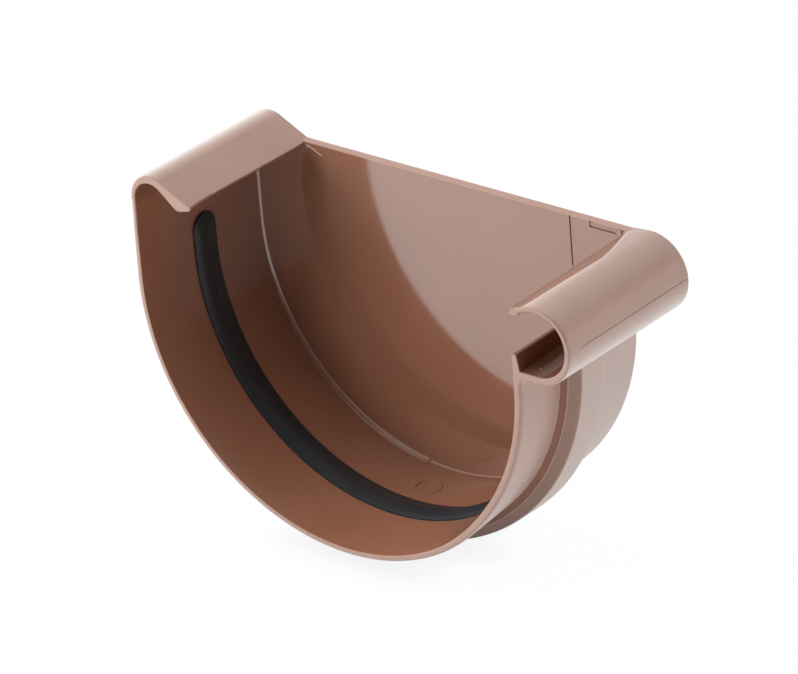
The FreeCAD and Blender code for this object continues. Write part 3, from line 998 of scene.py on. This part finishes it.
    def is_cored(self, centre: Vector, normal: Vector) -> bool:
        """Tell whether a face lies in the bore, from its centre and normal."""
        middle, outer = self.circle(centre.y)
        in_bore = math.dist((centre.x, centre.z), middle) < outer - self.wall / 2
        return centre.y < self.form.plate_face and in_bore and not self.is_on_lip(centre, normal)

    def is_on_lip(self, centre: Vector, normal: Vector) -> bool:
        """Tell whether a face lies on the slope between the lip's tip and the bead's crest."""
        middle, _ = self.circle(centre.y)
        crest_x = self.crest(centre.y)[1] - self.crest_round
        above = centre.z > middle[1] and self.form.plate_radius < centre.x < crest_x and normal.z > -0.2
        return self.form.rim_round < centre.y < self.form.plate_face and above

    def is_outside(self, centre: Vector) -> bool:
        """Tell whether a face lies on the tube's outside or on its crest, from its centre."""
        middle, outer = self.circle(centre.y)
        over = math.dist((centre.x, centre.z), middle) > outer - self.wall / 2
        return over and centre.z > 0 and centre.x > self.crest(centre.y)[1] - self.crest_round

    def share_without_painted_highlight(self, centre: Vector) -> float:
        """Return the share of the satin level at a point of the outside: less at the top, where the rest is a painted
        highlight, and under the seam, where it is a painted reflection.
        """
        middle, _ = self.circle(centre.y)
        angle = math.degrees(math.atan2(centre.z - middle[1], centre.x - middle[0]))
        below = min(max((self.seam_angle - angle) / self.painted_reflection_below, 0.0), 1.0)
        above = min(max((angle - self.painted_highlight_span[0]) / (self.painted_highlight_span[1] - self.painted_highlight_span[0]), 0.0), 1.0)
        return (1 - below) * (1 - self.top_painted_highlight * above ** 1.5)

    def build(self) -> bpy.types.Object:
        """Build the bead from the open rim to the back of the cap."""
        form = self.form
        steps = 40
        extra = [self.flare_start + (form.depth - self.flare_start) * i / steps for i in range(steps + 1)]
        extra += [self.seam_fade[0] + 1 * MM * i for i in range(10)]
        depths = sorted({round(y, 7) for y in form.depths() + extra})
        return loft("bead", [[(x, y, z) for x, z in self.section(y)] for y in depths])


@dataclass
class EndPlate:
    """The plate that closes the socket, the hook and the bead, with one straight top edge."""

    form: SocketForm
    hook: BackHook
    bead: FrontBead
    edge_round: float = 0.3 * MM
    slit_from_wall: float = 15.9 * MM
    slit_width: float = 0.45 * MM
    slit_depth: float = 1.5 * MM
    slit_length: float = 15.0 * MM
    pad_from_wall: float = 8.7 * MM
    pad_height: float = 1.5 * MM
    pad_thickness: float = 0.25 * MM
    pad_gap: float = 0.6 * MM
    overlap: float = 1.0 * MM

    def slab(self, name: str, outline: Outline, start: float, end: float) -> bpy.types.Object:
        """Return an outline in the XZ plane, run between two depths."""
        return loft(name, [[(x, y, z) for x, z in outline] for y in (start, end)])

    def pieces(self) -> list[bpy.types.Object]:
        """Build the plate's parts, which overlap each other and the walls."""
        form = self.form
        face, back = form.plate_face, form.depth
        radius = form.plate_radius + form.rear_wall / 2
        centre, outer = self.bead.circle(back)
        end_radius = outer - self.bead.wall / 2
        low = centre[1] - end_radius
        edge = self.edge_round
        rim = []
        profile = [(face + y, form.plate_top - edge + z) for y, z in
                   [(edge - edge * math.cos(a), edge * math.sin(a)) for a in (math.radians(15 * i) for i in range(7))]]
        profile += [(back - (y - face), z) for y, z in reversed(profile)]
        for y, top in profile:
            rim.append([(-radius, y, -self.overlap), (radius, y, -self.overlap), (radius, y, low),
                        (centre[0], y, low), (centre[0], y, top), (-radius, y, top)])
        disc = self.slab("disc", arc((0.0, 0.0), radius, 180, 360, 240), face, back)
        bead_end = self.slab("bead_end", arc(centre, end_radius, 0, 355, 71), face, back)
        hook_end = self.slab("hook_end", self.hook.end_outline(), face, back)
        return [disc, loft("web", rim), bead_end, hook_end]

    def pad(self) -> bpy.types.Object:
        """Build the thin raised step under the plate's top edge."""
        form = self.form
        left = form.plate_radius - self.pad_from_wall
        right = form.plate_radius + self.bead.tip_thickness
        return box_mesh("pad", (left, form.plate_face - self.pad_thickness, form.plate_top - self.pad_height),
                        (right, form.plate_face + self.overlap, form.plate_top - self.edge_round))

    def cuts(self) -> list[bpy.types.Object]:
        """Build the cutters of the narrow slit and of the fine gap round the step."""
        form = self.form
        face = form.plate_face
        left = form.plate_radius - self.slit_from_wall - self.slit_width / 2
        slit = box_mesh("slit", (left, face - self.overlap, form.plate_top - self.slit_length),
                        (left + self.slit_width, face + self.slit_depth, form.plate_top - self.edge_round))
        pad_left = form.plate_radius - self.pad_from_wall
        pad_low = form.plate_top - self.pad_height
        under = box_mesh("under", (pad_left - self.pad_gap, face - self.overlap, pad_low - self.pad_gap),
                         (form.plate_radius - self.pad_gap, face + self.pad_gap * 2, pad_low))
        beside = box_mesh("beside", (pad_left - self.pad_gap, face - self.overlap, pad_low - self.pad_gap / 2),
                          (pad_left, face + self.pad_gap * 2, form.plate_top - self.edge_round))
        return [slit, under, beside]


@dataclass
class MouldMarks:
    """Small marks that the mould left: a plain ring, a thicker stretch of fillet, thin flash and a burr."""

    form: SocketForm
    ring_depth: float = 36.7 * MM
    ring_radius: float = 3.7 * MM
    ring_line: float = 0.2 * MM
    thick_fillet: float = 1.55 * MM
    thick_from: float = -162.0
    thick_to: float = -97.6
    flash: tuple[tuple[Point, Point], ...] = (
        ((-43.4 * MM, 25.5 * MM), (-38.6 * MM, 23.3 * MM)),
        ((-44.1 * MM, 25.7 * MM), (-43.4 * MM, 24.8 * MM)),
        ((63.5 * MM, 26.3 * MM), (64.6 * MM, 25.3 * MM)),
    )
    flash_width: float = 0.3 * MM
    flash_height: float = 0.22 * MM
    burr_place: tuple[float, float, float] = (-65.8 * MM, 0.7 * MM, 23.6 * MM)
    burr_size: tuple[float, float, float] = (0.75 * MM, 0.35 * MM, 0.25 * MM)

    def on_wall(self, along: float, depth: float, height: float) -> tuple[float, float, float]:
        """Return a point over the wall's lowest line.

        Args:
            along: The way along the wall's bend.
            depth: The depth in the socket.
            height: How far the point stands off the wall.

        Returns:
            The point in the part's frame.
        """
        radius = self.form.inner_radius(depth)
        x, z = around((0.0, 0.0), radius - height, -90 + math.degrees(along / radius))
        return x, depth, z

    def ring(self) -> bpy.types.Object:
        """Build the plain ring behind the seal."""
        sections = []
        for i in range(72):
            turn = math.radians(5 * i)
            section = []
            for out, up in arc((self.ring_radius, 0.0), self.ring_line, 0, 315, 7):
                section.append(self.on_wall(out * math.cos(turn), self.ring_depth + out * math.sin(turn), up))
            sections.append(section)
        return loft("ring", sections, is_ring=True)

    def fillet(self) -> bpy.types.Object:
        """Build the stretch of the inner fillet that is thicker than the rest and ends in a step."""
        form = self.form
        face = form.plate_face
        wall = form.inner_radius(face)
        sections = []
        count = 64
        for i in range(count + 1):
            angle = self.thick_from + (self.thick_to - self.thick_from) * i / count
            grown = min(i / (count * 0.25), 1.0)
            size = form.corner_fillet + (self.thick_fillet - form.corner_fillet) * grown
            bend = arc((wall - size, face - size), size, 0, 90, 8)
            outline = [(wall + 0.3 * MM, face + 0.3 * MM), (wall + 0.3 * MM, face - size)] + bend
            outline.append((wall - size, face + 0.3 * MM))
            section = []
            for radius, y in outline:
                x, z = around((0.0, 0.0), radius, angle)
                section.append((x, y, z))
            sections.append(section)
        return loft("fillet", sections)

    def ridge(self, start: Point, end: Point) -> bpy.types.Object:
        """Build one thin line of flash on the plate's face, between two points as (x, z)."""
        along = math.atan2(end[1] - start[1], end[0] - start[0])
        half, face = self.flash_width / 2, self.form.plate_face
        across = (-math.sin(along) * half, math.cos(along) * half)
        sections = []
        for x, z in (start, end):
            sections.append([(x - across[0], face + half, z - across[1]), (x + across[0], face + half, z + across[1]),
                             (x, face - self.flash_height, z)])
        return loft("flash", sections)

    def burr(self) -> bpy.types.Object:
        """Build the small burr on the outside of the hook's leg."""
        x, y, z = self.burr_place
        reach, deep, tall = self.burr_size
        root = [(x, y - deep, z - tall), (x, y + deep, z - tall), (x, y + deep, z + tall), (x, y - deep, z + tall)]
        tip = [(x - reach, y + dy * 0.2, z + dz * 0.3) for dy, dz in ((-deep, -tall), (deep, -tall), (deep, tall),
                                                                      (-deep, tall))]
        return loft("burr", [root, tip])

    def pieces(self) -> list[bpy.types.Object]:
        """Build all the marks that stand on the surface."""
        return [self.ring(), self.fillet(), self.burr()] + [self.ridge(*ends) for ends in self.flash]


@dataclass
class CapBody:
    """The whole moulding."""

    finish: MouldedPvc
    form: SocketForm = field(default_factory=SocketForm)
    crease: float = 24.0
    core_reach: float = 0.5 * MM
    # The skirt's lower faces and the faces near the crease turn paler with painted bounce light.
    painted_bounce_from: float = 0.35
    painted_light_near_crease: float = 1.1
    satin_from: float = 40.0 * MM
    # Painted shade factors: in the bead's bore, on the lip's slope, on the rim, and towards the bottom of the bulge's
    # flank.
    bore_shade: float = 0.75
    lip_shade: float = 0.75
    rim_shade: float = 0.9
    flank_shade: float = 0.4

    def __post_init__(self) -> None:
        """Add the hook and the bead, which share the socket's sizes."""
        self.hook = BackHook(self.form)
        self.bead = FrontBead(self.form)

    def polish_and_painted_light_of(self, centre: Vector, normal: Vector) -> float:
        """Return how polished a face is, from its centre and normal; the bead's top and underside, the hook's crown
        and the skirt's lower faces are paler with painted highlights, painted reflection and painted bounce light.
        """
        level = self.level_of(centre, normal)
        # The pale rear level, with painted light, blends into the satin level on the hook's side.
        if level is PolishAndPaintedLight.MATT_PAINTED_LIGHT and centre.x < 0:
            share = min(-centre.x / self.satin_from, 1.0)
            return PolishAndPaintedLight.MATT_PAINTED_LIGHT.value + (PolishAndPaintedLight.SATIN_PAINTED_SHEEN.value - PolishAndPaintedLight.MATT_PAINTED_LIGHT.value) * share
        if level is not PolishAndPaintedLight.SATIN_PAINTED_SHEEN or centre.y < self.form.rim_round * 0.4:
            return level.value
        # Painted highlight on the bead's top and painted reflection under its seam.
        if self.bead.is_outside(centre):
            return level.value * self.bead.share_without_painted_highlight(centre)
        # Painted bounce light on the skirt's downward faces, and painted light towards the crease.
        if centre.y < self.form.bulge_start and centre.z < 0 and normal.z < 0:
            low = min(max((-normal.z - self.painted_bounce_from) / (1 - self.painted_bounce_from), 0.0), 1.0)
            deep = self.painted_light_near_crease * max(centre.y - self.form.lead_length, 0.0) / self.form.bulge_start
            deep *= min(-normal.z / self.painted_bounce_from, 1.0) if centre.x > 0 else 0.0
            return level.value * (1 - max(low, deep))
        # Painted highlight along the hook's crown.
        if centre.x < 0 and centre.z > self.hook.centre_z and normal.y < 0.5:
            return level.value * self.hook.share_without_painted_highlight(normal)
        return level.value

    def level_of(self, centre: Vector, normal: Vector) -> PolishAndPaintedLight:
        """Tell how polished the mould was that shaped a face, from the face's centre and normal; edges and flash get
        painted highlights, the lip's slope, the crease and the flank get painted shade, and the rear body gets painted
        light.
        """
        form = self.form
        x, z = centre.x, min(centre.z, 0.0)
        radius = math.hypot(x, z)
        inner = form.inner_radius(centre.y) + form.lead_inside * form.lead(centre.y)
        outward = normal.x * x + normal.z * z > 0
        if centre.y < form.rim_round * 0.4:
            return PolishAndPaintedLight.SATIN_PAINTED_SHEEN
        # Painted shade on the lip's slope.
        if self.bead.is_on_lip(centre, normal):
            return PolishAndPaintedLight.DULL_PAINTED_SHADE
        if self.bead.is_cored(centre, normal) or self.hook.is_cored(centre, normal):
            return PolishAndPaintedLight.CORE
        if centre.y < form.plate_face + self.core_reach and radius < inner + self.core_reach:
            if centre.z > form.plate_top - self.core_reach:
                return PolishAndPaintedLight.SATIN_PAINTED_SHEEN
            # Painted highlight on the sides of the raised flash and step.
            raised = 0.01 * MM < form.plate_face - centre.y < 0.3 * MM
            if centre.z > form.hook_base and normal.y > -0.97 and raised:
                return PolishAndPaintedLight.PAINTED_HIGHLIGHT
            if normal.y < -0.2 and centre.y > form.plate_face - 2 * form.corner_fillet:
                return PolishAndPaintedLight.MIRROR
            return PolishAndPaintedLight.SATIN_PAINTED_SHEEN if outward else PolishAndPaintedLight.CORE
        if not outward or centre.z > form.hook_base or self.bead.is_outside(centre):
            return PolishAndPaintedLight.SATIN_PAINTED_SHEEN
        past = centre.y - form.bulge_start
        # Painted highlight along the edge line at the foot of the bulge.
        if abs(past + Socket.edge_line / 2) < Socket.edge_line / 2:
            return PolishAndPaintedLight.PAINTED_HIGHLIGHT
        # Painted shade in the crease and on the flank that faces forward.
        if past > 0 and normal.y < -0.3:
            if past < Socket.crease_run - Socket.edge_line / 2:
                return PolishAndPaintedLight.DULL_PAINTED_SHADE
            return PolishAndPaintedLight.SATIN_PAINTED_SHEEN if past < Socket.crease_run + Socket.edge_line / 2 else PolishAndPaintedLight.SEMI_GLOSS_PAINTED_SHADE
        # Painted highlight on the bulge's back edge.
        if past > form.bulge_length - Socket.edge_bevel and normal.y > 0.2 and centre.y < form.plate_face:
            return PolishAndPaintedLight.PAINTED_HIGHLIGHT
        # The rear body's outside takes the pale level with painted light.
        is_back = normal.y > 0.9 and centre.y > form.plate_face
        return PolishAndPaintedLight.MATT_PAINTED_LIGHT if past > 0 and not is_back else PolishAndPaintedLight.SATIN_PAINTED_SHEEN

    def shade_of(self, centre: Vector, normal: Vector) -> float:
        """Return a factor that darkens a face's colour as painted shade: on the rim, in the bead's bore, on the lip's
        slope, and towards the bottom of the bulge's flank.
        """
        form = self.form
        if centre.y < form.rim_round * 0.4:
            return self.rim_shade
        if self.bead.is_cored(centre, normal):
            return self.bore_shade
        if self.bead.is_on_lip(centre, normal):
            return self.lip_shade
        past = centre.y - form.bulge_start
        if 0 < past < Socket.flank_run and math.hypot(centre.x, min(centre.z, 0.0)) > form.foot_radius:
            fall = min(max(-centre.z / form.mouth_radius, 0.0), 1.0)
            return 1 - self.flank_shade * fall ** 2
        return 1.0

    def build(self) -> bpy.types.Object:
        """Build and dress the moulding, and let it stand for the plain solid."""
        material = self.finish.material()
        sweep = SocketSweep(self.form)
        body = Socket(self.form, sweep).build(material)
        plate = EndPlate(self.form, self.hook, self.bead)
        marks = MouldMarks(self.form)
        added = [self.hook.build(), self.bead.build()] + plate.pieces() + [plate.pad()] + marks.pieces()
        combine(body, added, Solver.UNION)
        groove = SealGroove(self.form)
        cuts = [groove.trimmed(sweep, groove.outline(), 0.0, material, "groove")] + plate.cuts()
        combine(body, cuts, Solver.CUT)
        smooth_with_creases(body, self.crease)
        self.finish.mark(body, self.finish.polish_and_painted_light_mark, self.polish_and_painted_light_of)
        self.finish.mark(body, self.finish.shade_mark, self.shade_of)
        body.data.materials.clear()
        body.data.materials.append(material)
        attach(body, "root")
        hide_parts("cap_body")
        log.info("moulding: %d faces", len(body.data.polygons))
        return body


@dataclass
class RubberSeal:
    """The rubber strip in the groove: a rounded front, an off-centre ridge and a round head at each end."""

    finish: BlackRubber
    form: SocketForm = field(default_factory=SocketForm)
    side_gap: float = 0.03 * MM
    rise: float = 2.1 * MM
    ridge_offset: float = 3.9 * MM
    shoulder: float = 0.3 * MM
    head_length: float = 6.5 * MM
    head_share: float = 0.25

    def outline(self, groove: SealGroove) -> Outline:
        """Return the strip's section."""
        front = groove.start + self.side_gap
        back = groove.start + groove.width - self.side_gap
        mouth = self.form.inner_radius(groove.start)
        brim, peak = mouth - self.shoulder, mouth - self.rise
        ridge = groove.start + self.ridge_offset
        corner = groove.corner - self.side_gap
        bottom = groove.floor - self.side_gap
        rise = bend_through((brim, front), (peak + 0.15 * MM, front + 0.5 * MM), (peak, ridge), 12)
        fall = bend_through((peak + 0.12 * MM, ridge + 0.35 * MM), (brim - 0.7 * MM, ridge + 2.4 * MM), (brim, back), 10)
        return [(bottom, back), (bottom, front + corner), (bottom - corner, front)] + rise + fall

    def lower_heads(self, seal: bpy.types.Object, groove: SealGroove) -> None:
        """Let the strip's ridge sink towards the round head at each end."""
        mouth = self.form.inner_radius(groove.start) - self.shoulder
        for vertex in seal.data.vertices:
            x, _, z = vertex.co
            top = groove.bead_top if x > 0 else groove.hook_top
            radius = abs(x) if z > 0 else math.hypot(x, z)
            left = (top - z) / self.head_length
            if radius < mouth and left < 1:
                share = self.head_share + (1 - self.head_share) * math.sin(max(left, 0.0) * math.pi / 2)
                scale = (mouth - (mouth - radius) * share) / radius
                vertex.co.x = x * scale
                vertex.co.z = z if z > 0 else z * scale

    def build(self) -> bpy.types.Object:
        """Build and dress the strip, and let it stand for the plain solid."""
        material = self.finish.material()
        groove = SealGroove(self.form)
        sweep = SocketSweep(self.form, side_steps=24)
        seal = groove.trimmed(sweep, self.outline(groove), self.side_gap, material, "rubber_seal_visual")
        self.lower_heads(seal, groove)
        smooth_with_creases(seal, 40.0)
        seal.data.materials.clear()
        seal.data.materials.append(material)
        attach(seal, "root")
        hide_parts("rubber_seal")
        log.info("seal: %d faces", len(seal.data.polygons))
        return seal


@dataclass(frozen=True)
class SoftLamp:
    """A soft lamp that faces the cap: where it stands, its size and its power."""

    name: str
    direction: tuple[float, float, float]
    distance: float
    width: float
    height: float
    watts: float

    def build(self) -> bpy.types.Object:
        """Add the lamp, which lights the cap but isn't mirrored in it."""
        light = bpy.data.lights.new(self.name, "AREA")
        light.shape = "RECTANGLE"
        light.size, light.size_y = self.width, self.height
        light.energy = self.watts
        obj = bpy.data.objects.new(self.name, light)
        obj.location = Vector(self.direction).normalized() * self.distance
        obj.rotation_euler = Vector(self.direction).to_track_quat("Z", "Y").to_euler()
        obj.visible_glossy = False
        bpy.context.scene.collection.objects.link(obj)
        return obj


@dataclass
class WhiteStudio:
    """A white table in white surroundings with a dim top and camera side, and four soft lamps."""

    floor_level: float
    camera_side: tuple[float, float, float] = (0.593, -0.672, 0.443)
    floor_half: float = 4.0
    floor_white: float = 0.9
    floor_lift: float = 0.985
    contact_reach: float = 0.01
    contact_shadow: float = 0.13
    sky_light: float = 0.32
    dim_side: float = 0.12
    dim_edge: Point = (52.0, 34.0)
    dim_top: float = 0.3
    top_edge: Point = (0.15, 0.5)
    mirrored_lift: float = 0.55
    lamps: tuple[SoftLamp, ...] = (
        SoftLamp("left_front_lamp", (-0.775, -0.484, 0.407), 1.2, 1.7, 1.0, 23.0),
        SoftLamp("overhead_lamp", (0.0, -0.02, 1.0), 1.3, 0.9, 0.9, 5.8),
        SoftLamp("rear_top_lamp", (0.1, 0.8, 0.6), 1.3, 0.7, 0.7, 5.5),
        SoftLamp("right_low_lamp", (0.95, 0.2, 0.06), 1.2, 1.0, 0.2, 2.8),
    )

    def floor(self) -> bpy.types.Object:
        """Build the white floor, which shows the camera and reflections only a faint shadow."""
        made = bpy.data.materials.new("white_table")
        made.use_nodes = True
        sheet = NodeSheet(made.node_tree)
        made.node_tree.nodes.clear()
        white = (self.floor_white, self.floor_white, self.floor_white, 1.0)
        paper = sheet.add("ShaderNodeBsdfDiffuse", {"Color": white})
        # Near the cap the glow is dimmed by ambient occlusion: a painted contact shadow.
        open_sky = sheet.add("ShaderNodeAmbientOcclusion", {"Distance": self.contact_reach}, samples=8)
        seen = sheet.add("ShaderNodeMapRange", {"Value": open_sky.outputs["AO"], "From Min": 0.0, "From Max": 1.0,
                                                "To Min": 1.0 - self.contact_shadow, "To Max": 1.0})
        glow = sheet.add("ShaderNodeEmission", {"Color": (1.0, 1.0, 1.0, 1.0), "Strength": seen.outputs[0]})
        rays = sheet.add("ShaderNodeLightPath").outputs
        mirrored = sheet.math("MAXIMUM", rays["Is Glossy Ray"], rays["Is Transmission Ray"])
        mirrored = sheet.math("MULTIPLY", mirrored, self.mirrored_lift)
        share = sheet.math("MULTIPLY_ADD", rays["Is Camera Ray"], self.floor_lift, mirrored)
        shader = sheet.add("ShaderNodeMixShader", {0: share, 1: paper.outputs[0], 2: glow.outputs[0]})
        sheet.add("ShaderNodeOutputMaterial", {"Surface": shader.outputs[0]})
        half, z = self.floor_half, self.floor_level
        floor = mesh_object("floor", [(-half, -half, z), (half, -half, z), (half, half, z), (-half, half, z)],
                            [(0, 1, 2, 3)])
        floor.data.materials.append(made)
        floor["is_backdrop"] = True
        return floor

    def sky(self) -> None:
        """Set the surroundings: white to the camera, with a dim top and camera side in reflections."""
        world = bpy.data.worlds.new("white_surroundings")
        bpy.context.scene.world = world
        world.use_nodes = True
        world.node_tree.nodes.clear()
        sheet = NodeSheet(world.node_tree)
        rays = sheet.add("ShaderNodeLightPath").outputs
        aim = sheet.add("ShaderNodeTexCoord").outputs["Generated"]
        facing = sheet.add("ShaderNodeVectorMath", {0: aim, 1: self.camera_side}, operation="DOT_PRODUCT")
        far, near = (math.cos(math.radians(a)) for a in self.dim_edge)
        mirrored = sheet.add("ShaderNodeMapRange", {"Value": facing.outputs["Value"], "From Min": far,
                                                    "From Max": near, "To Min": 1.0, "To Max": self.dim_side},
                             interpolation_type="SMOOTHSTEP")
        rise = sheet.add("ShaderNodeSeparateXYZ", {"Vector": aim}).outputs["Z"]
        upper = sheet.add("ShaderNodeMapRange", {"Value": rise, "From Min": self.top_edge[0],
                                                 "From Max": self.top_edge[1], "To Min": 1.0,
                                                 "To Max": self.dim_top}, interpolation_type="SMOOTHSTEP")
        glossy = sheet.math("MAXIMUM", rays["Is Glossy Ray"], rays["Is Transmission Ray"])
        shown = sheet.math("MULTIPLY", mirrored.outputs[0], upper.outputs[0])
        soft = sheet.math("MULTIPLY", mirrored.outputs[0], self.sky_light)
        seen = sheet.add("ShaderNodeMix", {0: glossy, 2: soft, 3: shown})
        strength = sheet.add("ShaderNodeMix", {0: rays["Is Camera Ray"], 2: seen.outputs[0], 3: 1.0})
        back = sheet.add("ShaderNodeBackground", {"Color": (1.0, 1.0, 1.0, 1.0), "Strength": strength.outputs[0]})
        sheet.add("ShaderNodeOutputWorld", {"Surface": back.outputs[0]})

    def build(self) -> None:
        """Build the floor, the surroundings and the lamps."""
        self.floor()
        self.sky()
        for lamp in self.lamps:
            lamp.build()


@dataclass(frozen=True)
class PhotoCamera:
    """The camera that saw the cap: where it stood, how it was turned and its focal length."""

    place: tuple[float, float, float] = (0.93662, -1.032178, 0.68514)
    right: tuple[float, float, float] = (0.77112, 0.63257, -0.07235)
    down: tuple[float, float, float] = (0.23144, -0.38434, -0.89371)
    forward: tuple[float, float, float] = (-0.59314, 0.67241, -0.44277)
    focal_pixels: float = 5866.0
    picture_width: float = 798.0
    sensor_width: float = 36.0

    def build(self) -> bpy.types.Object:
        """Add the camera and make it the scene's own."""
        data = bpy.data.cameras.new("photo_camera")
        data.sensor_width = self.sensor_width
        data.lens = self.focal_pixels * self.sensor_width / self.picture_width
        data.clip_start, data.clip_end = 0.05, 30.0
        obj = bpy.data.objects.new("photo_camera", data)
        turn = Matrix([self.right, [-v for v in self.down], [-v for v in self.forward]]).transposed()
        obj.matrix_world = Matrix.Translation(self.place) @ turn.to_4x4()
        bpy.context.scene.collection.objects.link(obj)
        bpy.context.scene.camera = obj
        return obj


def main() -> None:
    """Build the cap and its studio in order, and report each piece."""
    logging.basicConfig(level=logging.INFO, format="%(name)s: %(message)s")
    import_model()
    cad_low, cad_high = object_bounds()
    bpy.context.scene.view_settings.view_transform = "Standard"
    CapBody(MouldedPvc()).build()
    RubberSeal(BlackRubber()).build()
    WhiteStudio(floor_level=cad_low.z).build()
    PhotoCamera().build()


if __name__ == "__main__":
    main()
